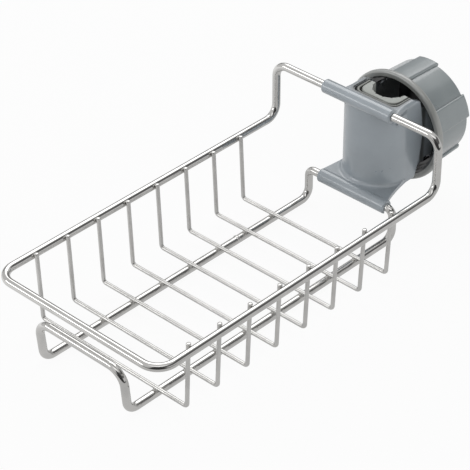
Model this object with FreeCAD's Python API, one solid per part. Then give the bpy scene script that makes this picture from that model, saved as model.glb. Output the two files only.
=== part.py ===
"""Sponge holder: a wire basket with a screw clamp that holds it to a faucet pipe.

Frame in millimetres: the origin is where the pipe's axis crosses the clamp's screw axis.
+Z runs up along the pipe, +Y along the screw axis from the basket to the cap, +X across.
"""
import math
import os

import FreeCAD
import Part

V = FreeCAD.Vector

# Wire stock
frame_wire = 4.0
cross_wire = 2.0
weld_gap = 0.05

# Basket, measured on the wires' centre-lines
rim_length = 181.4
rim_width = 100.0
rim_drop = 1.6
rim_corner = 9.0
upstand_height = 29.6
upstand_bend = 7.0

basket_depth = 36.1
hoop_setback = 3.8
hoop_height = 22.2
hoop_lean = 2.0
hoop_corner = 8.0
hoop_bend = 5.5
tail_drop = 21.8
tail_setback = 1.6
tail_corner = 3.7
tail_bend = 5.5

cross_count = 8
cross_first = 20.7
cross_last = 28.54
cross_lean = 1.5
cross_bend = 1.8
cross_above = 1.2

# Pipe seat and its two liners
pipe_radius = 9.0
inner_pad_wall = 2.56
outer_pad_wall = 1.5
pad_clear = 0.12
front_extra = 0.1
cradle_corner = 3.0
outer_pad_corner = 4.6
inner_pad_corner = 5.4
pad_recess = 0.6
pad_ledge = 1.6
pad_rear = -0.8
pad_round = 0.6
rebate = 0.5
rib_count = 6
rib_groove = 0.9

# Bracket body
cradle_wall = 3.5
barrel_centre = 8.5
body_rear = 5.2
plate_below_bar = 4.8
plate_thick = 3.0
plate_rear = -5.0
plate_setback = 4.4
waist_inset = 0.2
foot_ease = 2.0
foot_above_tail = 3.2
foot_thick = 2.0
foot_flare = 2.2
head_flare = 1.2
flare_overlap = 0.03
arm_slope_length = 7.7
arm_slope_drop = 3.9
rear_bow = 62.0
rear_bow_height = 2.5
rear_round = 1.6
deck_round = 2.0
edge_round = 0.8

# Sleeves that snap onto the basket's crossbars
sleeve_wall = 1.4
sleeve_clear = 0.1
sleeve_over = 4.0
sleeve_aside = 2.0
sleeve_mouth = 3.2
bar_ahead = 1.3

# Screw between prongs and cap: plain lands, and a waist that carries the thread
thread_over = 5.2
thread_clear = 0.4
thread_depth = 1.2
thread_front = 8.0
thread_back = 21.0
prong_inset = 1.4
prong_end = 23.0

# Pressure ring and cap
mouth_clear = 2.0
mouth_depth = 4.8
lip_clear = 2.9
lip_depth = 2.4
ring_front = 3.0
ring_depth = 3.2
ring_band = 2.9
ring_over = 3.9
ring_round = 1.3
ring_wall = 1.0
brim_over = 1.2
brim_thick = 1.0
neck_over = 0.4
swivel_clear = 0.06
cap_back = 30.2
cap_over = 3.2
cap_taper = 0.8
cap_wall = 2.4
dish_rim = 3.4
dish_depth = 0.8
lobe_count = 5
lobe_width_deg = 27.0
lobe_first_deg = 93.5
lobe_height = 1.4
lobe_edge = 1.0
lobe_chamfer = 0.8

# Widths and radii that follow, from the pipe outwards
liners = inner_pad_wall + outer_pad_wall + 2 * pad_clear
cradle_width = 2 * (pipe_radius + liners)
cradle_front = pipe_radius + liners + front_extra
barrel_radius = cradle_width / 2 + cradle_wall
plate_waist = barrel_radius - waist_inset
sleeve_length = 2 * (barrel_radius + sleeve_over)
sleeve_radius = frame_wire / 2 + sleeve_clear + sleeve_wall
plate_half = sleeve_length / 2 - waist_inset
runner_width = sleeve_length + 2 * (sleeve_aside + tail_corner)
prong_flat = barrel_radius - prong_inset
thread_radius = barrel_radius + thread_over
cap_mouth = thread_radius + mouth_clear
ring_inner = thread_radius + ring_over
ring_outer = ring_inner + ring_band
brim_radius = ring_inner + brim_over
neck_radius = ring_inner + neck_over
cap_front_radius = thread_radius + cap_over
cap_back_radius = cap_front_radius - cap_taper

# Places that follow
bar_y = -(barrel_centre + barrel_radius + bar_ahead)
rim_front = bar_y - rim_length
rim_z = -rim_drop
bar_z = rim_z + upstand_height
runner_z = rim_z - basket_depth
tail_y = bar_y - tail_setback
tail_z = -tail_drop
cross_pitch = (rim_length - cross_first - cross_last) / (cross_count - 1)
cross_z = runner_z + (frame_wire + cross_wire) / 2 + weld_gap
cross_top_half = rim_width / 2 - (frame_wire + cross_wire) / 2 - weld_gap
plate_top = bar_z - plate_below_bar
pad_top = plate_top - pad_recess
foot_top = tail_z + foot_above_tail
body_foot = foot_top - foot_thick
pad_foot = foot_top + pad_ledge


def corner_arc(before, corner, after, radius):
    """Start, middle and end of the arc that rounds one corner of a centre-line."""
    back = (before - corner).normalize()
    ahead = (after - corner).normalize()
    half_angle = back.getAngle(ahead) / 2
    reach_along = radius / math.tan(half_angle)
    middle_line = (back + ahead).normalize()
    centre = corner + middle_line * (radius / math.sin(half_angle))
    return corner + back * reach_along, centre - middle_line * radius, corner + ahead * reach_along


def centre_line(points, bends):
    """Wire of straight runs and arcs through the points, each corner with its own bend radius."""
    stops = [points[0]]
    edges = []
    for before, corner, after, radius in zip(points, points[1:], points[2:], bends):
        start, middle, end = corner_arc(before, corner, after, radius)
        edges.append(Part.LineSegment(stops[-1], start).toShape())
        edges.append(Part.Arc(start, middle, end).toShape())
        stops.append(end)
    edges.append(Part.LineSegment(stops[-1], points[-1]).toShape())
    return Part.Wire(edges)


def rod(points, bends, diameter):
    """Solid round wire along a bent centre-line."""
    path = centre_line(points, bends)
    section = Part.Wire(Part.makeCircle(diameter / 2, points[0], points[1] - points[0]))
    return path.makePipeShell([section], True, False)


def mirrored_x(shape):
    return shape.mirror(V(0, 0, 0), V(1, 0, 0))


def loop(points, bends, diameter):
    """Closed wire loop from its left half, whose ends lie on the middle plane."""
    half = rod(points, bends, diameter)
    return half.fuse(mirrored_x(half)).removeSplitter()


def box(low, high):
    size = V(*high) - V(*low)
    return Part.makeBox(size.x, size.y, size.z, V(*low))


def side_prism(outline, half_width, middle=0.0):
    """Side outline of (y, z) points, extruded evenly to both sides of an upright plane."""
    corners = [V(middle - half_width, y, z) for y, z in outline]
    face = Part.Face(Part.makePolygon(corners + corners[:1]))
    return face.extrude(V(2 * half_width, 0, 0))


def cross_tube(radius, length, y, z, middle=0.0):
    """Cylinder across the object, even to both sides of an upright plane."""
    return Part.makeCylinder(radius, length, V(middle - length / 2, y, z), V(1, 0, 0))


def round_ended(tube, radius):
    """The same cylinder with its end edges rounded over."""
    return tube.makeFillet(radius, [e for e in tube.Edges if len(e.Vertexes) == 1])


def screw_cylinder(radius, front, back):
    """Cylinder on the screw axis."""
    return Part.makeCylinder(radius, back - front, V(0, front, 0), V(0, 1, 0))


def turned(profile):
    """Solid of revolution about the screw axis from (radius, y) points."""
    corners = [V(r, y, 0) for r, y in profile]
    face = Part.Face(Part.makePolygon(corners + corners[:1]))
    return face.revolve(V(0, 0, 0), V(0, 1, 0), 360)


def along_z(edge):
    return len(edge.Vertexes) == 2 and abs(edge.tangentAt(edge.FirstParameter).z) > 0.99


def rim_wire():
    side = rim_width / 2
    points = [
        V(0, bar_y, bar_z),
        V(-side, bar_y, bar_z),
        V(-side, bar_y, rim_z),
        V(-side, rim_front, rim_z),
        V(0, rim_front, rim_z),
    ]
    return loop(points, [upstand_bend, upstand_bend, rim_corner], frame_wire)


def base_wire():
    side = runner_width / 2
    foot_y = rim_front + hoop_setback
    points = [
        V(0, tail_y, tail_z),
        V(-side, tail_y, tail_z),
        V(-side, tail_y, runner_z),
        V(-side, foot_y, runner_z),
        V(-side, foot_y - hoop_lean, runner_z + hoop_height),
        V(0, foot_y - hoop_lean, runner_z + hoop_height),
    ]
    return loop(points, [tail_corner, tail_bend, hoop_bend, hoop_corner], frame_wire)


def cross_wire_at(index):
    """One U-shaped thin wire with rounded ends, leaning against the rim's inner side."""
    y = rim_front + cross_first + cross_pitch * index
    foot_half = cross_top_half - cross_lean
    slope = cross_lean / (rim_z - cross_z)
    top_half = cross_top_half + slope * cross_above
    end = V(-top_half, y, rim_z + cross_above)
    points = [end, V(-foot_half, y, cross_z), V(0, y, cross_z)]
    half = rod(points, [cross_bend], cross_wire)
    half = half.fuse(Part.makeSphere(cross_wire / 2, end))
    return half.fuse(mirrored_x(half)).removeSplitter()


def u_channel(half_width, front, rear, corner, low, high):
    """Upright block with a flat front, two rounded front corners and straight sides."""
    block = box((-half_width, front, low), (half_width, rear, high))
    edges = [e for e in block.Edges if along_z(e) and e.CenterOfMass.y < front + 0.1]
    return block.makeFillet(corner, edges)


def barrel(low, high):
    """Round front and flat sides of the bracket's body between two heights, before the seat is cut."""
    round_front = Part.makeCylinder(barrel_radius, high - low, V(0, -barrel_centre, low))
    flanks = box((-barrel_radius, -barrel_centre, low), (barrel_radius, body_rear, high))
    return round_front.fuse(flanks)


def waisted_plate(front, low, high, ease):
    """Plate that carries a sleeve and narrows in two arcs to the barrel's flanks.

    With ease 1 the arcs run smoothly into the flanks, and with more they are that much flatter.
    """
    plate = box((sleeve_aside - plate_half, front, low), (sleeve_aside + plate_half, plate_rear, high))
    for side in (-1, 1):
        wide = V(sleeve_aside + side * plate_half, front, low - 1)
        narrow = V(side * plate_waist, plate_rear, low - 1)
        chord = narrow - wide
        arc = ease * chord.Length ** 2 / (2 * abs(chord.x))
        outward = V(side * chord.y, -side * chord.x, 0).normalize()
        centre = (wide + narrow) * 0.5 + outward * math.sqrt(arc ** 2 - chord.Length ** 2 / 4)
        plate = plate.cut(Part.makeCylinder(arc, high - low + 2, centre))
    return plate


def rear_shape():
    """Everything the body may fill: a wide bow with round edges behind, and arms that slope at the top."""
    bow = cross_tube(rear_bow, 2 * barrel_radius, body_rear - rear_bow, rear_bow_height)
    bow = round_ended(bow, rear_round)
    tall = rear_bow
    wide = plate_half + sleeve_aside + 1
    front = box((-wide, bar_y - tall, -tall), (wide, plate_rear, tall))
    start = body_rear - arm_slope_length
    slope = [(start, plate_top), (start, plate_top + tall), (body_rear + 1, plate_top + tall)]
    slope.append((body_rear + 1, plate_top - arm_slope_drop * (arm_slope_length + 1) / arm_slope_length))
    return bow.fuse(front).cut(side_prism(slope, wide + 1))


def prongs():
    """Two flat-sided arms with a waist for the thread, and the pipe's way left free between them."""
    front = body_rear - arm_slope_length
    arms = screw_cylinder(thread_radius, front, prong_end)
    arms = arms.makeChamfer(1.0, [e for e in arms.Edges if e.CenterOfMass.y > prong_end - 0.1])
    around = screw_cylinder(thread_radius + 1, thread_front, thread_back)
    core = screw_cylinder(thread_radius - thread_depth, thread_front - 1, thread_back + 1)
    keep = box((-prong_flat, front, -thread_radius), (prong_flat, prong_end, thread_radius))
    return arms.cut(around.cut(core)).common(keep)


def sleeve_neck():
    """Nose of the barrel run up into the upper sleeve, and the ramp from the sleeve to the plate."""
    plate_low = plate_top - plate_thick
    nose_keep = box((-plate_half, bar_y - sleeve_radius, plate_low), (plate_half, bar_y + 3, bar_z - 1))
    nose = barrel(plate_low, bar_z - 1).common(nose_keep)
    ramp = [
        (bar_y + 1.2, bar_z - 3.0),
        (bar_y + 2.6, bar_z - sleeve_mouth / 2),
        (bar_y + 8.0, plate_top),
        (bar_y + 8.0, plate_low),
        (bar_y + plate_setback, plate_low),
    ]
    return nose.fuse(side_prism(ramp, plate_half - 0.9, sleeve_aside))


def sleeve_hole(y, z, way):
    """Bore for a crossbar with the mouth that lets it snap in, open toward the given way."""
    half = sleeve_length / 2 + 2
    bore = cross_tube(frame_wire / 2 + sleeve_clear, 2 * half, y, z, sleeve_aside)
    reach_out = sleeve_radius + 3
    along = V(0, *way)
    across = V(0, way[1], way[0])
    low = V(sleeve_aside - half, y, z) - across * (sleeve_mouth / 2)
    high = V(sleeve_aside + half, y, z) + across * (sleeve_mouth / 2) + along * reach_out
    corners = [(low.x, high.x), (low.y, high.y), (low.z, high.z)]
    mouth = box([min(pair) for pair in corners], [max(pair) for pair in corners])
    return bore.fuse(mouth)


def pipe_seat():
    """Everything cut away for the liners and the pipe: the cradle, its rebate and the slot under it."""
    half = cradle_width / 2
    rear = prong_end + 1
    high = plate_top + thread_radius
    low = pad_foot - thread_radius
    cradle = u_channel(half, -cradle_front, rear, cradle_corner, pad_foot, high)
    step = u_channel(half + rebate, -cradle_front - rebate, rear, cradle_corner, plate_top - rebate, high)
    slot = Part.makeCylinder(pipe_radius + 1.0, pad_foot + 1 - low, V(0, 0, low))
    slot = slot.fuse(box((-half, 0, low), (half, rear, pad_foot + 1)))
    return cradle.fuse([slot, step])


def rounded_above(shape, height, radius):
    """The same prism with the edges of its flat top rounded over."""
    level = [e for e in shape.Edges if abs(e.BoundBox.ZMin - height) + abs(e.BoundBox.ZMax - height) < 1e-3]
    return shape.makeFillet(radius, level)


def deck(front, low, high, ease):
    """Plate that carries a sleeve, in one outline with the barrel it joins."""
    return waisted_plate(front, low, high, ease).fuse(barrel(low, high)).removeSplitter()


def flare(front, level, radius, rise, ease):
    """Concave sweep from the barrel's round front out onto a plate's face; rise is +1 up, -1 down."""
    wall = barrel_radius - flare_overlap
    inside = wall - 1.0
    outside = wall + radius
    crest = level + rise * radius
    bow = radius * (1 - math.sqrt(0.5))
    middle = V(wall + bow, 0, level + rise * bow)
    profile = Part.Wire([
        Part.LineSegment(V(inside, 0, level), V(outside, 0, level)).toShape(),
        Part.Arc(V(outside, 0, level), middle, V(wall, 0, crest)).toShape(),
        Part.LineSegment(V(wall, 0, crest), V(inside, 0, crest)).toShape(),
        Part.LineSegment(V(inside, 0, crest), V(inside, 0, level)).toShape(),
    ])
    sweep = Part.Face(profile).revolve(V(0, 0, 0), V(0, 0, 1), -180)
    sweep.translate(V(0, -barrel_centre, 0))
    return sweep.common(waisted_plate(front, min(level, crest), max(level, crest), ease))


def sleeve(y, z):
    """Tube around a crossbar, before its bore is cut."""
    return round_ended(cross_tube(sleeve_radius, sleeve_length, y, z, sleeve_aside), edge_round)


def clamp_bracket():
    plate_low = plate_top - plate_thick
    top_front = bar_y + plate_setback
    top = rounded_above(deck(top_front, plate_low, plate_top, 1.0), plate_top, deck_round)
    foot = deck(tail_y, body_foot, foot_top, foot_ease)
    body = barrel(body_foot + 0.5, plate_low + 0.5)
    flares = [
        flare(tail_y, foot_top, foot_flare, 1, foot_ease),
        flare(top_front, plate_low, head_flare, -1, 1.0),
    ]
    body = body.fuse([top, foot, sleeve_neck()] + flares)
    body = body.common(rear_shape())
    body = body.fuse([prongs(), sleeve(bar_y, bar_z), sleeve(tail_y, tail_z)])
    for hole in (pipe_seat(), sleeve_hole(bar_y, bar_z, (1, 0)), sleeve_hole(tail_y, tail_z, (0, -1))):
        body = body.cut(hole)
    return body


def outer_pad():
    """Thin U-shaped liner that fills the cradle."""
    half = cradle_width / 2 - pad_clear
    front = -cradle_front + pad_clear
    low = pad_foot + pad_clear
    skin = u_channel(half, front, pad_rear, outer_pad_corner, low, pad_top)
    half -= outer_pad_wall
    front += outer_pad_wall
    hollow_corner = outer_pad_corner - outer_pad_wall + 0.3
    hollow = u_channel(half, front, pad_rear + 1, hollow_corner, low - 1, pad_top + 1)
    return rounded_above(skin.cut(hollow), pad_top, pad_round)


def grip_grooves(low, high):
    """Narrow upright grooves that leave ribs on the pipe seat."""
    step = 160.0 / rib_count
    cuts = []
    for index in range(rib_count):
        angle = math.radians(190 + step * (index + 0.5))
        centre = V(pipe_radius * math.cos(angle), pipe_radius * math.sin(angle), low - 1)
        cuts.append(Part.makeCylinder(rib_groove / 2, high - low + 2, centre))
    return cuts


def inner_pad():
    """Thick liner with a ribbed half-round seat for the pipe."""
    gap = 2 * pad_clear + outer_pad_wall
    half = cradle_width / 2 - gap
    front = -cradle_front + gap
    low = pad_foot + pad_clear
    block = u_channel(half, front, pad_rear, inner_pad_corner, low, pad_top)
    seat = Part.makeCylinder(pipe_radius, pad_top - low + 2, V(0, 0, low - 1))
    block = rounded_above(block, pad_top, pad_round)
    return block.cut(seat.fuse(grip_grooves(low, pad_top)))


def pressure_ring():
    """Rounded ring with an inner channel in which the cap's brim turns."""
    back = ring_front + ring_depth
    channel_front = ring_front + ring_wall
    channel_back = channel_front + brim_thick + 2 * swivel_clear
    body = round_ended(screw_cylinder(ring_outer, ring_front, back), ring_round)
    inside = [
        screw_cylinder(ring_inner, ring_front - 1, channel_front),
        screw_cylinder(brim_radius + swivel_clear, channel_front, channel_back),
        screw_cylinder(neck_radius + swivel_clear, channel_back, back + 1),
    ]
    return body.cut(inside[0].fuse(inside[1:]))


def grip_lobe(angle):
    """One raised grip panel, a sector of a slightly larger cone, with rounded long edges."""
    front = ring_front + ring_depth + 0.4
    low_front = cap_front_radius - 2
    panel = turned([
        (low_front, front),
        (cap_front_radius + lobe_height, front),
        (cap_back_radius + lobe_height, cap_back - lobe_chamfer),
        (cap_back_radius + lobe_height - lobe_chamfer, cap_back),
        (low_front, cap_back),
    ])
    half = math.radians(lobe_width_deg / 2)
    far = 2 * ring_outer
    outline = [V(0, front - 1, 0)]
    for side in (-half, half):
        outline.append(V(far * math.cos(side), front - 1, far * math.sin(side)))
    face = Part.Face(Part.makePolygon(outline + outline[:1]))
    sector = face.extrude(V(0, cap_back - front + 2, 0))
    lobe = panel.common(sector)
    crest = (cap_front_radius + cap_back_radius) / 2 + lobe_height
    tops = [e for e in lobe.Edges if abs(math.hypot(e.CenterOfMass.x, e.CenterOfMass.z) - crest) < 0.5]
    lobe = lobe.makeFillet(lobe_edge, [e for e in tops if abs(e.tangentAt(e.FirstParameter).y) > 0.9])
    return lobe.rotate(V(0, 0, 0), V(0, 1, 0), -angle)


def clamp_cap():
    """Cup with a brim for the ring, a bore for the prongs' thread, raised grip lobes and a dished back."""
    brim_front = ring_front + ring_wall + swivel_clear
    brim_back = brim_front + brim_thick
    neck_back = ring_front + ring_depth + 0.4
    shell = turned([
        (0, brim_front),
        (brim_radius, brim_front),
        (brim_radius, brim_back),
        (neck_radius, brim_back),
        (neck_radius, neck_back),
        (cap_front_radius, neck_back + 0.8),
        (cap_back_radius, cap_back - 1.2),
        (cap_back_radius - 1.2, cap_back),
        (0, cap_back),
    ])
    lobes = [grip_lobe(lobe_first_deg + 360.0 * k / lobe_count) for k in range(lobe_count)]
    mouth_back = brim_front + mouth_depth
    hollow = screw_cylinder(cap_mouth, brim_front - 1, mouth_back)
    hollow = hollow.fuse(screw_cylinder(thread_radius + lip_clear, brim_front - 1, brim_front + lip_depth))
    hollow = hollow.fuse(screw_cylinder(thread_radius + thread_clear, mouth_back, cap_back - cap_wall))
    hollow = hollow.fuse(screw_cylinder(cap_back_radius - dish_rim, cap_back - dish_depth, cap_back + 1))
    return shell.fuse(lobes).cut(hollow).removeSplitter()


def write(node, shape):
    """One STEP file per node, holding one valid solid."""
    solids = shape.Solids
    if len(solids) != 1 or not shape.isValid():
        raise ValueError(f"{node}: {len(solids)} solids, valid {shape.isValid()}")
    solids[0].exportStep(f"parts/{node}.step")


os.makedirs("parts", exist_ok=True)
write("rim_wire", rim_wire())
write("base_wire", base_wire())
for number in range(cross_count):
    write(f"cross_wire_{number + 1}", cross_wire_at(number))
write("clamp_bracket", clamp_bracket())
write("outer_pad", outer_pad())
write("inner_pad", inner_pad())
write("pressure_ring", pressure_ring())
write("clamp_cap", clamp_cap())
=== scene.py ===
# %% [markdown]
# A wire sponge basket with a screw clamp
#
# The CAD model gives every piece its size and its motion. This lesson dresses it: it loads the packed
# model, sets up a camera and a small studio, writes the finishes as node maths, and adds the details
# that are too fine for the CAD model. Lengths are in metres, in the CAD model's own frame: the origin
# is where the pipe's axis crosses the clamp's screw axis, +Z is up, +Y points from basket to cap.

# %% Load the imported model
import math

import bmesh
import bpy
import numpy as np
from mathutils import Matrix


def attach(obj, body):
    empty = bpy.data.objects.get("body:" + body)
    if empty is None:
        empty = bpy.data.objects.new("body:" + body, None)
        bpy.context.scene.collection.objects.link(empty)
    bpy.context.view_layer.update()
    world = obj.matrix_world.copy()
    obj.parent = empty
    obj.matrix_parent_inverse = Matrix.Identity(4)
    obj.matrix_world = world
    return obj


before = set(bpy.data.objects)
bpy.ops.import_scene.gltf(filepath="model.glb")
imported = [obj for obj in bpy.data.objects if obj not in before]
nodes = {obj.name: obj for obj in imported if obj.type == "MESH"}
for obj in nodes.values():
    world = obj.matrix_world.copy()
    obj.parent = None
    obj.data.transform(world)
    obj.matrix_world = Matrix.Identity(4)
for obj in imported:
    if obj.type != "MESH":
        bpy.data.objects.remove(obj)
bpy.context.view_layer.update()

MM = 0.001

# %% [markdown]
# The camera
#
# The photograph looks down on the basket's front right corner. A camera could be aimed by eye, but its
# place can also be worked out: the straight wires give the direction, and the way parallel wires close
# up gives the distance. The numbers below are that result. The frame is square, 470 pixels a side, and
# the point in the middle of the basket has to land on one known pixel, so the camera is moved sideways
# until it does. That needs no lens shift, so the same camera also works from other sides.

# %% Camera at the photograph's angle
FRAME_PIXELS = 470
TARGET = np.array([0.0, -113.0, -1.6]) * MM
TARGET_PIXEL = (229.02, 228.6)
VIEW_AZIMUTH = math.radians(43.485)
VIEW_ELEVATION = math.radians(35.182)
VIEW_ROLL = math.radians(-0.2715)
FOCAL_PIXELS = 2066.4
VIEW_DISTANCE = 934.19 * MM
SENSOR = 36.0
CLIP_NEAR, CLIP_FAR = 0.01, 20.0


def camera_axes(azimuth, elevation, roll):
    """Right, up and back of a camera that looks at the target, turned about its own axis by roll."""
    right = np.array([math.cos(azimuth), math.sin(azimuth), 0.0])
    back = np.array([
        math.sin(azimuth) * math.cos(elevation),
        -math.cos(azimuth) * math.cos(elevation),
        math.sin(elevation),
    ])
    up = np.cross(back, right)
    turned_right = math.cos(roll) * right + math.sin(roll) * up
    turned_up = math.cos(roll) * up - math.sin(roll) * right
    return turned_right, turned_up, back


right, up, back = camera_axes(VIEW_AZIMUTH, VIEW_ELEVATION, VIEW_ROLL)
per_pixel = VIEW_DISTANCE / FOCAL_PIXELS
aside = (TARGET_PIXEL[0] - FRAME_PIXELS / 2) * per_pixel
below = (TARGET_PIXEL[1] - FRAME_PIXELS / 2) * per_pixel
place = TARGET + back * VIEW_DISTANCE - right * aside + up * below

camera = bpy.data.objects.new("camera", bpy.data.cameras.new("camera"))
bpy.context.scene.collection.objects.link(camera)
bpy.context.scene.camera = camera
camera.data.sensor_width = SENSOR
camera.data.lens = FOCAL_PIXELS / FRAME_PIXELS * SENSOR
camera.data.clip_start, camera.data.clip_end = CLIP_NEAR, CLIP_FAR
matrix = np.eye(4)
matrix[:3, 0], matrix[:3, 1], matrix[:3, 2], matrix[:3, 3] = right, up, back, place
camera.matrix_world = Matrix(matrix)
bpy.context.scene.view_settings.view_transform = "Standard"
print("camera at", np.round(place / MM, 1), "mm, lens", round(camera.data.lens, 1), "mm")

# %% [markdown]
# Node maths
#
# A finish is a formula over the surface: a colour that drifts a little, a roughness that drifts with it,
# a bump. Blender writes formulas as nodes. Wiring each node by hand hides the formula, so one small
# class holds a socket and lets Python's own operators add the Math nodes. Everything that isn't plain
# arithmetic, such as a noise texture, comes from its method "node".

# %% A socket that can be added and multiplied
class Value:
    """An output socket of a node tree. Operators on it add Math nodes, and node() adds any other node."""

    def __init__(self, tree, socket=None):
        self.tree = tree
        self.socket = socket

    def node(self, kind, settings=None, inputs=None, out=0):
        """Adds a node: its settings first, then a value or a link for each named or numbered input."""
        made = self.tree.nodes.new(kind)
        for name, setting in (settings or {}).items():
            setattr(made, name, setting)
        for name, given in (inputs or {}).items():
            if isinstance(given, Value):
                self.tree.links.new(given.socket, made.inputs[name])
            else:
                made.inputs[name].default_value = given
        return Value(self.tree, made.outputs[out] if made.outputs else None)

    def math(self, operation, *others):
        """One Math node, with this value as its first input."""
        return self.node("ShaderNodeMath", {"operation": operation}, dict(enumerate([self, *others])))

    def __add__(self, other):
        return self.math("ADD", other)

    def __mul__(self, other):
        return self.math("MULTIPLY", other)

    def __sub__(self, other):
        return self.math("SUBTRACT", other)

    def __rsub__(self, other):
        return self.node("ShaderNodeMath", {"operation": "SUBTRACT"}, {0: other, 1: self})

    __radd__ = __add__
    __rmul__ = __mul__

    def between(self, low, high):
        """0 below low, 1 above high and a smooth rise between them."""
        inputs = {"Value": self, "From Min": low, "From Max": high}
        return self.node("ShaderNodeMapRange", {"interpolation_type": "SMOOTHSTEP"}, inputs)

    def mix(self, first, second):
        """The colour first where this value is 0, and second where it is 1."""
        return self.node("ShaderNodeMix", {"data_type": "RGBA"}, {0: self, 6: first, 7: second}, out=2)


def parts(tree, vector):
    """The x, y and z of a vector, as values."""
    split = tree.node("ShaderNodeSeparateXYZ", inputs={0: vector})
    outputs = split.socket.node.outputs
    return [Value(tree.tree, outputs[k]) for k in range(3)]


def along(x, y, way):
    """How far a place, or how much of a direction, lies along a level way: way_x x + way_y y."""
    return way[0] * x + way[1] * y


def new_finish(name):
    """An empty material and its node tree."""
    material = bpy.data.materials.new(name)
    material.use_nodes = True
    material.node_tree.nodes.clear()
    return material, Value(material.node_tree)


print("node maths ready")

# %% [markdown]
# The studio floor
#
# Small steel goods are photographed on a white sweep, with large soft lamps and a dark card or two,
# because polished wire with nothing dark to mirror looks like chalk. Here the floor is white to the
# camera only, apart from a little of the object's shadow. Mirror rays meet a floor that is brighter on
# the strip lamp's side and nearly black in the foreground, and all other rays meet a plain pale floor,
# so the white adds no light to the object.

# %% Floor
WHITE = (1, 1, 1, 1)
FLOOR_LEVEL = -39.7 * MM
FLOOR_HALF = 6.0
FLOOR_WHITE_SHARE = 0.94
FLOOR_WHITE_FROM_TO = (0.35, 0.9)
FLOOR_PALE = (0.62, 0.62, 0.62, 1)
FLOOR_DIM = (0.64, 0.64, 0.64, 1)
FRONT_CARD = (0.04, 0.04, 0.041, 1)
FRONT_WAY = (0.69, -0.73)
FOREGROUND_EDGE = (0.25, 0.34)
STRIP_WAY = (-0.9, -0.45)
STRIP_SIDE_EDGE = (0.06, 0.26)
STRIP_REACH = (0.8, 1.8)


def ray_kinds(tree):
    """Three values that are 1 for camera rays, for mirror rays and for rays through glass."""
    path = tree.node("ShaderNodeLightPath").socket.node.outputs
    names = ("Is Camera Ray", "Is Glossy Ray", "Is Transmission Ray")
    return [Value(tree.tree, path[name]) for name in names]


def pale_floor():
    """Nearly plain white to the camera, so that a small share of the true light and shadow is left in it.

    With distance that share goes to nothing, so that the floor has no visible end.
    """
    material, tree = new_finish("pale_floor")
    seen, mirrored, through = ray_kinds(tree)
    x, y, _ = parts(tree, tree.node("ShaderNodeTexCoord", out="Object"))
    distance = (x * x + y * y).math("SQRT")
    white_share = FLOOR_WHITE_SHARE + (1 - FLOOR_WHITE_SHARE) * distance.between(*FLOOR_WHITE_FROM_TO)
    share = (seen * white_share).math("MAXIMUM", mirrored).math("MAXIMUM", through)
    strip_side = along(x, y, STRIP_WAY).between(*STRIP_SIDE_EDGE) * (1 - distance.between(*STRIP_REACH))
    foreground = along(x, y, FRONT_WAY).between(*FOREGROUND_EDGE)
    reflected = foreground.mix(strip_side.mix(FLOOR_DIM, WHITE), FRONT_CARD)
    lit = tree.node("ShaderNodeBsdfDiffuse", inputs={"Color": FLOOR_PALE})
    glow = tree.node("ShaderNodeEmission", inputs={"Color": mirrored.mix(WHITE, reflected)})
    mixed = tree.node("ShaderNodeMixShader", inputs={0: share, 1: lit, 2: glow})
    tree.node("ShaderNodeOutputMaterial", inputs={0: mixed})
    return material


floor_mesh = bpy.data.meshes.new("floor")
corners = np.array([(-1, -1), (1, -1), (1, 1), (-1, 1)]) * FLOOR_HALF
corners = np.column_stack([corners, np.full(4, FLOOR_LEVEL)])
floor_mesh.from_pydata(corners.tolist(), [], [(0, 1, 2, 3)])
floor_mesh.materials.append(pale_floor())
floor = bpy.data.objects.new("floor", floor_mesh)
bpy.context.scene.collection.objects.link(floor)
print("floor at", round(FLOOR_LEVEL / MM, 1), "mm")

# %% [markdown]
# The surroundings
#
# A wire is a mirror bent round, so each thin line along it is the picture of one part of the room. Three
# dark cards draw the dark lines: one on the right, one low at the back left, and one in front of the
# basket's front right corner. A bright panel above the front card puts the white beside the black in
# each bend. The plastic and the rubber see another room: a dim one, with more light from the right and
# most from the left, where the daylight's slight blue comes in.

# %% Surroundings
AMBIENT = (0.38, 0.38, 0.38, 1)
AMBIENT_RIGHT = (1.6, 1.6, 1.6, 1)
AMBIENT_LEFT = (2.7, 2.75, 2.84, 1)
RIGHT_WAY, RIGHT_FILL_EDGE = (0.9, -0.4), (0.25, 0.9)
LEFT_WAY, LEFT_FILL_EDGE = (-0.93, -0.15), (0.45, 0.95)
MIRRORED_SKY = (0.70, 0.70, 0.70, 1)
BACK_CARD = (0.22, 0.22, 0.222, 1)
BACK_WAY, BACK_CARD_EDGE, BACK_CARD_TOP = (-0.7, 0.7), (0.70, 0.88), (0.30, 0.45)
RIGHT_CARD = (0.13, 0.13, 0.132, 1)
RIGHT_CARD_EDGE, RIGHT_CARD_FOOT, RIGHT_CARD_TOP = (0.16, 0.32), (0.26, 0.36), (0.74, 0.84)
FRONT_CARD_EDGE, FRONT_CARD_TOP = (0.72, 0.90), (0.62, 0.72)
FRONT_PANEL = (1.5, 1.5, 1.5, 1)
FRONT_PANEL_EDGE, FRONT_PANEL_FOOT = (0.25, 0.45), (0.74, 0.82)


def mirrored_room(x, y, z):
    """The colour that mirror rays meet in a direction: a grey sky, three dark cards, a bright panel."""
    front = along(x, y, FRONT_WAY)
    back_card = along(x, y, BACK_WAY).between(*BACK_CARD_EDGE) * (1 - z.between(*BACK_CARD_TOP))
    right_card = x.between(*RIGHT_CARD_EDGE) * z.between(*RIGHT_CARD_FOOT)
    right_card = right_card * (1 - z.between(*RIGHT_CARD_TOP))
    front_card = front.between(*FRONT_CARD_EDGE) * (1 - z.between(*FRONT_CARD_TOP))
    front_panel = front.between(*FRONT_PANEL_EDGE) * z.between(*FRONT_PANEL_FOOT)
    room = right_card.mix(back_card.mix(MIRRORED_SKY, BACK_CARD), RIGHT_CARD)
    return front_panel.mix(front_card.mix(room, FRONT_CARD), FRONT_PANEL)


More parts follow.
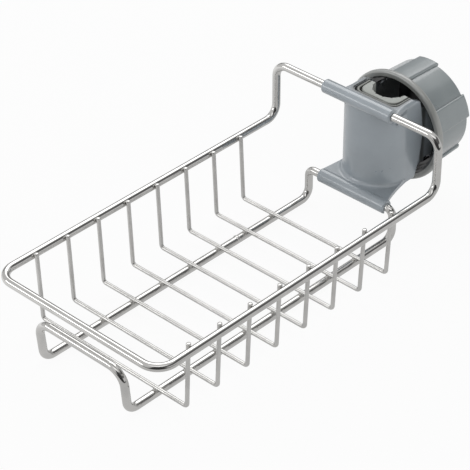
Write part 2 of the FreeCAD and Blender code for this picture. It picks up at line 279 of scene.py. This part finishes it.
def fill_light(x, y):
    """The light that all other rays meet: dim, brighter from the right, and brightest from the left."""
    fill = along(x, y, RIGHT_WAY).between(*RIGHT_FILL_EDGE).mix(AMBIENT, AMBIENT_RIGHT)
    return along(x, y, LEFT_WAY).between(*LEFT_FILL_EDGE).mix(fill, AMBIENT_LEFT)


def studio_world():
    """White to the camera, the mirrored room to mirror rays, and the fill light to the rest."""
    world = bpy.data.worlds.new("studio")
    world.use_nodes = True
    world.node_tree.nodes.clear()
    tree = Value(world.node_tree)
    seen, mirrored, through = ray_kinds(tree)
    x, y, z = parts(tree, tree.node("ShaderNodeTexCoord", out="Generated"))
    plain = seen.math("MAXIMUM", through).mix(fill_light(x, y), WHITE)
    colour = mirrored.mix(plain, mirrored_room(x, y, z))
    sky = tree.node("ShaderNodeBackground", inputs={"Color": colour})
    tree.node("ShaderNodeOutputWorld", inputs={0: sky})
    return world


bpy.context.scene.world = studio_world()
print("surroundings set")

# %% [markdown]
# The lamps
#
# A large softbox hangs above the basket, toward the back left, and lights every surface that faces up. A
# narrow strip stands low at the front left, and draws a bright line along the wires and sleeves that run
# from side to side. A lamp's power in watts says little about how bright its mirror image is, so each
# lamp is given by the brightness of its surface, and the watts follow: pi times area times brightness.

# %% Lamps
LAMP_AIM = np.array([0.0, -90.0, -10.0]) * MM
SOFTBOX = {"way": (-0.38, 0.46, 0.80), "distance": 1.1, "size": (0.80, 0.80), "glow": 1.85}
STRIP = {"way": (-0.56, -0.77, 0.31), "distance": 1.0, "size": (0.60, 0.17), "glow": 3.6}


def soft_lamp(name, way, distance, size, glow):
    """A rectangular lamp in the direction way from the object, with glow as its surface brightness."""
    lamp = bpy.data.objects.new(name, bpy.data.lights.new(name, "AREA"))
    away = np.array(way) / np.linalg.norm(way)
    side = np.cross([0.0, 0.0, 1.0], away)
    side /= np.linalg.norm(side)
    stand = np.eye(4)
    stand[:3, 0], stand[:3, 1], stand[:3, 2] = side, np.cross(away, side), away
    stand[:3, 3] = LAMP_AIM + away * distance
    lamp.matrix_world = Matrix(stand)
    lamp.data.shape = "RECTANGLE"
    lamp.data.size, lamp.data.size_y = size
    lamp.data.energy = math.pi * size[0] * size[1] * glow
    lamp.visible_camera = False
    bpy.context.scene.collection.objects.link(lamp)
    print("lamp", name, "of", round(lamp.data.energy, 2), "watts")


soft_lamp("softbox", **SOFTBOX)
soft_lamp("strip", **STRIP)

# %% [markdown]
# Finishes
#
# Three materials make the whole object. The wires are drawn steel, polished: a mirror with a trace of
# roughness that comes and goes, duller on the thin wires and the welds than on the thick wires. The
# clamp is moulded plastic: even in colour, with the faint orange-peel that a mould leaves. The liners
# are soft rubber, matt, paler and slightly grainy. All patterns read Object coordinates, so they stay
# on the piece when it moves.

# %% Helpers for finishes
COAT_ROUGHNESS = 0.12
TONE_EDGE = (0.3, 0.7)


def object_place(tree):
    """A point's place in its own piece."""
    return tree.node("ShaderNodeTexCoord", out="Object")


def noise(tree, place, scale, detail):
    return tree.node("ShaderNodeTexNoise", inputs={"Vector": place, "Scale": scale, "Detail": detail})


def bump(tree, height, distance):
    return tree.node("ShaderNodeBump", inputs={"Height": height, "Distance": distance})


def surface(tree, colour, roughness, normal, metallic=0.0, gloss=0.5, coat=0.0):
    """The shader that all finishes end in."""
    inputs = {"Base Color": colour, "Roughness": roughness, "Normal": normal, "Metallic": metallic}
    inputs["Specular IOR Level"] = gloss
    inputs["Coat Weight"] = coat
    inputs["Coat Roughness"] = COAT_ROUGHNESS
    shader = tree.node("ShaderNodeBsdfPrincipled", inputs=inputs)
    tree.node("ShaderNodeOutputMaterial", inputs={0: shader})


def dress(material, *names):
    for name in names:
        nodes[name].data.materials.clear()
        nodes[name].data.materials.append(material)


print("helpers ready")

# %% Polished steel
STEEL_BRIGHT = (0.675, 0.667, 0.650, 1)
STEEL_DULL = (0.60, 0.594, 0.58, 1)
STEEL_DRIFT = {"scale": 110.0, "detail": 3.0}
STEEL_POLISH = {"scale": 900.0, "detail": 2.0}
STEEL_BUMP = 0.5e-6
POLISH_LEAST, POLISH_SWING = 0.8, 0.4
THICK_ROUGHNESS, THIN_ROUGHNESS, WELD_ROUGHNESS = 0.10, 0.30, 0.28


def polished_steel(name, roughness):
    """Metal between two close tones, whose roughness varies by a fifth with a fine noise."""
    material, tree = new_finish(name)
    place = object_place(tree)
    polish = noise(tree, place, **STEEL_POLISH)
    colour = noise(tree, place, **STEEL_DRIFT).between(*TONE_EDGE).mix(STEEL_BRIGHT, STEEL_DULL)
    rough = roughness * (POLISH_LEAST + POLISH_SWING * polish)
    surface(tree, colour, rough, bump(tree, polish, STEEL_BUMP), metallic=1.0)
    return material


wire_steel = polished_steel("polished_steel", THICK_ROUGHNESS)
thin_steel = polished_steel("thin_steel", THIN_ROUGHNESS)
weld_steel = polished_steel("weld_steel", WELD_ROUGHNESS)
thick_wires = ["rim_wire", "base_wire"]
thin_wires = [name for name in nodes if name.startswith("cross_wire")]
dress(wire_steel, *thick_wires)
dress(thin_steel, *thin_wires)
print("wires dressed:", len(thick_wires) + len(thin_wires))

# %% [markdown]
# Painted shade in the seams
#
# The narrow seams where plastic fits into plastic, the cap's hollow, the prongs inside the cap and the
# ring's inner edge lie in shade, and that shade is painted into the colour here. Each piece of the clamp
# gets a mask, a value that is 1 where the painted shade is darkest. The liners and the cradle are
# U-shaped, open at the back, so one distance formula serves them all. Sizes here are in millimetres, as
# half width, front and corner radius of each U, or as the two ends of a soft edge.

# %% Masks of the cap and the ring
CAP_STEPS = ((26.9, 5.4), (25.0, 8.95), (23.4, 28.4))
CAP_EDGE = 0.1
# The ring's painted shade: how dark it is, and the radii over which it fades out.
RING_SHADE, RING_FACE_EDGE = 0.42, (27.3, 28.2)


def rise(value, edge):
    """0 below the first end of an edge and 1 above the second; both are in millimetres."""
    return value.between(edge[0] * MM, edge[1] * MM)


def axis_radius(x, z):
    """Distance from the screw axis."""
    return (x * x + z * z).math("SQRT")


def cap_hollow_shade(tree, place):
    """Painted shade in the cap's hollow: 1 within a radius that steps down from brim to mouth to bore."""
    x, y, z = parts(tree, place)
    radius = axis_radius(x, z)
    mask = 0.0
    for wall, depth in CAP_STEPS:
        within = 1 - rise(radius, (wall - CAP_EDGE, wall))
        mask = (within * (1 - rise(y, (depth - CAP_EDGE, depth)))).math("MAXIMUM", mask)
    return mask


def ring_face_shade(tree, place):
    """Painted shade on the ring's face, which bears on the pipe, up to where the face rounds over to its
    rim.
    """
    x, _, z = parts(tree, place)
    return RING_SHADE * (1 - rise(axis_radius(x, z), RING_FACE_EDGE))


print("round masks ready")

# %% Masks of the bracket and the liners
CRADLE = (13.3, -13.4, 3.0)
# Strengths and soft edges of the painted shade along the cradle, at the prongs' roots and on their inner
# faces.
CRADLE_SHADE, CRADLE_SHADE_EDGE, CRADLE_TOP = 0.75, (0.0, 2.6), (20.5, 21.5)
PRONG_FRONT = (4.5, 5.3)
ROOT_SHADE, ROOT_END = 0.85, (6.5, 9.0)
FACE_SHADE, FACE_EDGE = 0.8, (13.4, 13.7)
OUTER_LINER = (13.18, -13.28, 4.6)
# Strengths and soft edges of the painted shade along the liners' seams.
OUTER_SHADE, OUTER_EDGE = 0.9, (-1.2, -0.2)
OUTER_LINER_HOLLOW = (11.68, -11.78, 3.4)
HOLLOW_EDGE = (0.05, 0.5)
INNER_LINER = (11.56, -11.66, 5.4)
INNER_EDGE = (-0.9, -0.2)
LINER_TOP = (20.4, 21.2)
SEAT_SHADE_LEAST, SEAT_SHADE_MORE, SEAT_FRONT = 0.45, 0.42, (-11.5, -7.5)


def u_distance(x, y, half, front, corner):
    """Distance in metres from a U-shaped outline that is open behind: below zero inside it.

    Beside the straight runs it is the larger of the two overhangs, and at a corner the length of both.
    """
    aside = x.math("ABSOLUTE") - (half - corner) * MM
    ahead = (front + corner) * MM - y
    side_over, front_over = aside.math("MAXIMUM", 0.0), ahead.math("MAXIMUM", 0.0)
    over = (side_over * side_over + front_over * front_over).math("SQRT")
    return over + aside.math("MAXIMUM", ahead).math("MINIMUM", 0.0) - corner * MM


def bracket_seam_shade(tree, place):
    """Painted shade along the cradle's upper edge, from the liner outwards, and on the prongs: in the
    corner at their roots and on their inner faces."""
    x, y, z = parts(tree, place)
    beside_liner = 1 - rise(u_distance(x, y, *CRADLE), CRADLE_SHADE_EDGE)
    cradle = CRADLE_SHADE * beside_liner * rise(z, CRADLE_TOP)
    prongs = rise(y, PRONG_FRONT)
    roots = ROOT_SHADE * prongs * (1 - rise(y, ROOT_END))
    inner_faces = FACE_SHADE * prongs * (1 - rise(x.math("ABSOLUTE"), FACE_EDGE))
    return cradle.math("MAXIMUM", roots).math("MAXIMUM", inner_faces)


def beside_seat(y):
    """Strength of the painted shade between the liners: most beside the pipe's seat, least in front of
    it.
    """
    return SEAT_SHADE_LEAST + SEAT_SHADE_MORE * rise(y, SEAT_FRONT)


def outer_seam_shade(tree, place):
    """Painted shade along both upper edges of the outer liner, with less along the inner one in front."""
    x, y, z = parts(tree, place)
    outer = OUTER_SHADE * rise(u_distance(x, y, *OUTER_LINER), OUTER_EDGE)
    inner = beside_seat(y) * (1 - rise(u_distance(x, y, *OUTER_LINER_HOLLOW), HOLLOW_EDGE))
    return outer.math("MAXIMUM", inner) * rise(z, LINER_TOP)


def inner_seam_shade(tree, place):
    """Painted shade along the inner liner's outer upper edge, with less of it in front."""
    x, y, z = parts(tree, place)
    edge = rise(u_distance(x, y, *INNER_LINER), INNER_EDGE)
    return beside_seat(y) * edge * rise(z, LINER_TOP)


print("seam masks ready")

# %% Moulded plastic
# Painted shade: a dark grey for the seams and a deeper black for the cap's hollow, where shade falls.
SEAM_SHADE = (0.050, 0.052, 0.048, 1)
HOLLOW_SHADE = (0.006, 0.0065, 0.007, 1)
PLASTIC_DRIFT = {"scale": 60.0, "detail": 4.0}
PLASTIC_PEEL = {"scale": 700.0, "detail": 2.0}
PLASTIC_GRAIN = {"scale": 3500.0, "detail": 2.0}
PEEL_SHARE, GRAIN_SHARE, PLASTIC_BUMP = 0.8, 0.2, 9e-6
PLASTIC_ROUGHNESS, PLASTIC_SWING, PLASTIC_GLOSS, PLASTIC_COAT = 0.25, 0.08, 0.9, 0.8
BRACKET_LIGHT, BRACKET_DARK = (0.276, 0.309, 0.336, 1), (0.249, 0.280, 0.304, 1)
CAP_LIGHT, CAP_DARK = (0.243, 0.271, 0.278, 1), (0.217, 0.244, 0.251, 1)
RING_LIGHT, RING_DARK = (0.278, 0.284, 0.272, 1), (0.248, 0.254, 0.243, 1)


def moulded_plastic(name, light, dark, mask, shade_colour):
    """Plastic that drifts between two close tones, and takes the painted shade's colour where the mask is
    1.
    """
    material, tree = new_finish(name)
    place = object_place(tree)
    drift = noise(tree, place, **PLASTIC_DRIFT)
    colour = mask(tree, place).mix(drift.between(*TONE_EDGE).mix(dark, light), shade_colour)
    peel = PEEL_SHARE * noise(tree, place, **PLASTIC_PEEL)
    height = peel + GRAIN_SHARE * noise(tree, place, **PLASTIC_GRAIN)
    normal = bump(tree, height, PLASTIC_BUMP)
    rough = PLASTIC_ROUGHNESS + PLASTIC_SWING * drift
    surface(tree, colour, rough, normal, gloss=PLASTIC_GLOSS, coat=PLASTIC_COAT)
    return material


# The bracket and the ring take painted shade in their seams.
bracket_grey = moulded_plastic("bracket_grey", BRACKET_LIGHT, BRACKET_DARK, bracket_seam_shade, SEAM_SHADE)
# The cap takes a deeper painted shade in its hollow.
cap_grey = moulded_plastic("cap_grey", CAP_LIGHT, CAP_DARK, cap_hollow_shade, HOLLOW_SHADE)
ring_grey = moulded_plastic("ring_grey", RING_LIGHT, RING_DARK, ring_face_shade, SEAM_SHADE)
dress(bracket_grey, "clamp_bracket")
dress(cap_grey, "clamp_cap")
dress(ring_grey, "pressure_ring")
print("plastic dressed")

# %% Soft rubber
RUBBER_DRIFT = {"scale": 120.0, "detail": 4.0}
RUBBER_GRAIN = {"scale": 2600.0, "detail": 3.0}
RUBBER_DRIFT_SHARE, RUBBER_GRAIN_SHARE, RUBBER_TONE_EDGE = 0.6, 0.4, (0.35, 0.65)
RUBBER_ROUGHNESS, RUBBER_SWING, RUBBER_BUMP = 0.55, 0.16, 24e-6
OUTER_LIGHT, OUTER_DARK = (0.36, 0.37, 0.35, 1), (0.30, 0.31, 0.29, 1)
INNER_LIGHT, INNER_DARK = (0.43, 0.445, 0.42, 1), (0.35, 0.365, 0.34, 1)


def soft_rubber(name, light, dark, seam):
    """Matt rubber with a fine grain, darkened by painted shade along the seams that the mask gives."""
    material, tree = new_finish(name)
    place = object_place(tree)
    drift = noise(tree, place, **RUBBER_DRIFT)
    grain = noise(tree, place, **RUBBER_GRAIN)
    tone = (RUBBER_DRIFT_SHARE * drift + RUBBER_GRAIN_SHARE * grain).between(*RUBBER_TONE_EDGE)
    colour = seam(tree, place).mix(tone.mix(dark, light), SEAM_SHADE)
    rough = RUBBER_ROUGHNESS + RUBBER_SWING * grain
    surface(tree, colour, rough, bump(tree, grain, RUBBER_BUMP))
    return material


# Both liners take painted shade along their seams.
dress(soft_rubber("outer_liner_rubber", OUTER_LIGHT, OUTER_DARK, outer_seam_shade), "outer_pad")
dress(soft_rubber("inner_liner_rubber", INNER_LIGHT, INNER_DARK, inner_seam_shade), "inner_pad")
print("liners dressed")

# %% [markdown]
# Welds
#
# Each thin wire is welded to the rim at both ends and to both runners where it crosses them. At the rim
# the metal melts into a bead that caps the wire's tip, and at a runner it leaves a small smooth lump in
# the valley between the wires. A lump could be sculpted, but a rippled ball, flattened to fit, is enough
# at this size, and one formula makes all of them at once. Sizes are in millimetres until the last step.

# %% A mesh from points and faces
def add_piece(name, points, faces, material, body):
    """Puts points and faces into a smooth mesh whose faces all point outwards, riding on a body."""
    mesh = bpy.data.meshes.new(name)
    mesh.from_pydata(points.reshape(-1, 3).tolist(), [], faces)
    shell = bmesh.new()
    shell.from_mesh(mesh)
    bmesh.ops.recalc_face_normals(shell, faces=shell.faces)
    shell.to_mesh(mesh)
    shell.free()
    mesh.polygons.foreach_set("use_smooth", np.ones(len(mesh.polygons), bool))
    mesh.materials.append(material)
    piece = bpy.data.objects.new(name, mesh)
    bpy.context.scene.collection.objects.link(piece)
    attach(piece, body)
    print(name, "has", len(mesh.polygons), "faces")


def grid_faces(rows, columns, closed_rows=False):
    """Four-sided faces of a grid whose columns close on themselves, and whose rows may."""
    row_count = rows if closed_rows else rows - 1
    row, column = np.meshgrid(np.arange(row_count), np.arange(columns), indexing="ij")
    here, beyond = row * columns, (row + 1) % rows * columns
    beside = (column + 1) % columns
    return np.stack([here + column, here + beside, beyond + beside, beyond + column], -1).reshape(-1, 4)


print("mesh helpers ready")

# %% Lumps of weld metal
FIRST_CROSS_Y = -187.3
CROSS_PITCH = 18.88
CROSS_COUNT = 8
LUMP_AROUND = 14
LUMP_ROWS = 6
RIPPLE, RIPPLE_COUNT = 0.04, 3
RIM_BEAD_X, RIM_BEAD_Z, RIM_BEAD_HALF = 47.15, -0.15, (1.14, 1.14, 0.82)
RUNNER_LUMP_X, RUNNER_LUMP_Z, RUNNER_LUMP_HALF = 26.5, -35.8, (1.25, 1.35, 0.40)

cross_y = FIRST_CROSS_Y + CROSS_PITCH * np.arange(CROSS_COUNT)


def both_sides(x, z):
    """Points at -x and x, at height z, on every thin wire."""
    side, y = np.meshgrid([-x, x], cross_y, indexing="ij")
    return np.column_stack([side.ravel(), y.ravel(), np.full(side.size, z)]) * MM


def lumps(centres, half_sizes):
    """Flattened balls: the roots of sin b and cos b, b from pole to pole, give a flat top and full
    sides; a ripple of 0.04 sin(3 a + n), a around and n the lump's number, makes each one differ."""
    count = len(centres)
    number = np.arange(count)[:, None, None]
    around = np.linspace(0, 2 * np.pi, LUMP_AROUND, endpoint=False)[None, None, :]
    polar = np.linspace(0, np.pi, LUMP_ROWS + 2)[None, 1:-1, None]
    radius = np.sqrt(np.sin(polar)) * (1 + RIPPLE * np.sin(RIPPLE_COUNT * around + number))
    height = np.sign(np.cos(polar)) * np.sqrt(np.abs(np.cos(polar)))
    ball = np.stack(np.broadcast_arrays(radius * np.cos(around), radius * np.sin(around), height), -1)
    poles = np.broadcast_to([[0.0, 0.0, 1.0], [0.0, 0.0, -1.0]], (count, 2, 3))
    unit = np.concatenate([ball.reshape(count, -1, 3), poles], 1)
    points = unit * np.array(half_sizes) * MM + centres[:, None, :]
    last_row = LUMP_AROUND * (LUMP_ROWS - 1)
    top_pole = LUMP_AROUND * LUMP_ROWS
    step = np.arange(LUMP_AROUND)
    turn = (step + 1) % LUMP_AROUND
    top = np.stack([step, turn, np.full(LUMP_AROUND, top_pole)], -1)
    bottom = np.stack([last_row + step, last_row + turn, np.full(LUMP_AROUND, top_pole + 1)], -1)
    shift = np.arange(count) * points.shape[1]
    faces = []
    for patch in (grid_faces(LUMP_ROWS, LUMP_AROUND), top, bottom):
        faces += (patch[None] + shift[:, None, None]).reshape(-1, patch.shape[1]).tolist()
    return points, faces


points, faces = lumps(both_sides(RIM_BEAD_X, RIM_BEAD_Z), RIM_BEAD_HALF)
add_piece("rim_welds", points, faces, weld_steel, "rack")
points, faces = lumps(both_sides(RUNNER_LUMP_X, RUNNER_LUMP_Z), RUNNER_LUMP_HALF)
add_piece("runner_welds", points, faces, weld_steel, "rack")

# %% [markdown]
# The butt joint
#
# Both thick wires are closed loops, so each has a place where its two ends were pressed together and
# welded. On the lower loop it shows as a low collar on the left runner. It is a profile, a shallow hump,
# carried round the wire's axis. Its edges lie just under the wire's surface, so that it grows out of
# the wire without a step.

# %% Collar of the butt joint
JOINT_Y = -80.0
RUNNER_X, RUNNER_Z, WIRE_RADIUS = -26.5, -37.7, 2.0
COLLAR_HUMP, COLLAR_HALF_LENGTH = 0.30, 1.4
COLLAR_SUNK, COLLAR_CORE_DEPTH, COLLAR_CORE_SHARE = 0.06, 0.4, 0.9
COLLAR_AROUND, COLLAR_STEPS = 32, 13
LEVEL_SHARE, UPWARD_SHARE = 0.35, 0.8


def collar():
    """r = R - d + (h + d) (1 + cos pi s) / 2 c, s from -1 to 1 along the wire, closed by a flat core.

    R is the wire's radius, d the depth of the edges, h the hump's height. The share c goes round the
    wire from 1 on top to 0 below, where the joint was ground flat so that the runner stands level.
    """
    along_wire = np.linspace(-1, 1, COLLAR_STEPS)
    bulge = np.concatenate([0.5 + 0.5 * np.cos(np.pi * along_wire), [0, 0]])
    core_ends = [COLLAR_CORE_SHARE, -COLLAR_CORE_SHARE]
    along_wire = np.concatenate([along_wire, core_ends]) * COLLAR_HALF_LENGTH
    angle = np.linspace(0, 2 * np.pi, COLLAR_AROUND, endpoint=False)
    share = np.clip(LEVEL_SHARE + UPWARD_SHARE * np.sin(angle), 0, 1)
    radius = WIRE_RADIUS - COLLAR_SUNK + (COLLAR_HUMP + COLLAR_SUNK) * bulge[:, None] * share
    radius[-2:] = WIRE_RADIUS - COLLAR_CORE_DEPTH
    x = RUNNER_X + radius * np.cos(angle)
    z = RUNNER_Z + radius * np.sin(angle)
    y = np.broadcast_to(JOINT_Y + along_wire[:, None], x.shape)
    faces = grid_faces(len(along_wire), COLLAR_AROUND, closed_rows=True)
    return np.stack([x, y, z], -1) * MM, faces.tolist()


points, faces = collar()
add_piece("butt_joint", points, faces, weld_steel, "rack")

# %% [markdown]
# The thread
#
# The cap screws onto two flat-sided prongs, so only the four corners of the prongs carry thread, in
# short ridges. The CAD model has a plain waist there. A full screw thread could be cut with a boolean,
# but that leaves ragged edges; each ridge is a profile carried across the prong's thickness instead,
# rising along the same 4 mm pitch that couples the cap's turn to its travel.

# %% Ridges on the prongs
PITCH = 4.0
ROOT_RADIUS, CREST_RADIUS, SHOULDER_DROP = 20.6, 21.85, 0.12
ROOT_HALF, SHOULDER_HALF, CREST_HALF = 1.05, 0.55, 0.40
PRONG_INSIDE, PRONG_OUTSIDE, PRONG_STEPS = 13.34, 15.36, 6
RIDGES_FROM, RIDGES_TO = 9.6, 20.0


def ridges():
    """Ridge profile (offset along the axis, radius) carried over x; y = start + pitch * angle / turn."""
    rising = np.array([-ROOT_HALF, -SHOULDER_HALF, -CREST_HALF])
    offset = np.concatenate([rising, -rising[::-1]])
    rising = np.array([ROOT_RADIUS, CREST_RADIUS - SHOULDER_DROP, CREST_RADIUS])
    radius = np.concatenate([rising, rising[::-1]])
    across = np.linspace(PRONG_INSIDE, PRONG_OUTSIDE, PRONG_STEPS)
    inside_end = np.arange(len(offset))
    outside_end = inside_end + (len(across) - 1) * len(offset)
    points, faces = [], []
    for side in (-1, 1):
        for up_down in (-1, 1):
            x = side * across[:, None]
            z = up_down * np.sqrt(radius[None, :] ** 2 - x ** 2)
            turns = np.arctan2(x, z) / (2 * np.pi)
            first = np.ceil(RIDGES_FROM / PITCH - turns.mean()) + turns
            for start in np.arange(0, RIDGES_TO - RIDGES_FROM, PITCH):
                y = PITCH * first + start + offset[None, :]
                strip = np.stack([np.broadcast_to(x, z.shape), y, z], -1) * MM
                base = len(points) * len(across) * len(offset)
                points.append(strip.reshape(-1, 3))
                faces += (grid_faces(len(across), len(offset)) + base).tolist()
                faces += [(base + inside_end).tolist(), (base + outside_end).tolist()]
    return np.concatenate(points), faces


points, faces = ridges()
add_piece("prong_thread", points, faces, bracket_grey, "rack")

# %% [markdown]
# The gate mark
#
# Plastic enters the cap's mould at the middle of its back and leaves a small round nub where the feed
# was cut off. It is a flat dome: height times one minus the fourth power of the radius. A short skirt
# sinks its edge into the cap.

# %% Nub on the cap's back
NUB_RADIUS, NUB_HEIGHT, NUB_SKIRT, DISH_FLOOR = 2.2, 0.45, 0.3, 29.4
NUB_AROUND, NUB_RINGS, NUB_LEAST_SHARE = 28, 7, 0.15


def gate_nub():
    """Dome over a disc: y = floor + height (1 - s^4), s from 0 at the middle to 1 at the edge."""
    angle = np.linspace(0, 2 * np.pi, NUB_AROUND, endpoint=False)
    share = np.linspace(1, NUB_LEAST_SHARE, NUB_RINGS)[:, None]
    x = NUB_RADIUS * share * np.cos(angle)
    z = NUB_RADIUS * share * np.sin(angle)
    y = np.broadcast_to(DISH_FLOOR + NUB_HEIGHT * (1 - share ** 4), x.shape)
    skirt = np.stack([x[0], np.full(NUB_AROUND, DISH_FLOOR - NUB_SKIRT), z[0]], -1)[None]
    points = np.concatenate([skirt, np.stack([x, y, z], -1)]) * MM
    foot = np.arange(NUB_AROUND)
    top = foot + NUB_RINGS * NUB_AROUND
    faces = grid_faces(NUB_RINGS + 1, NUB_AROUND).tolist() + [foot.tolist(), top.tolist()]
    return points, faces


points, faces = gate_nub()
add_piece("gate_nub", points, faces, cap_grey, "cap")
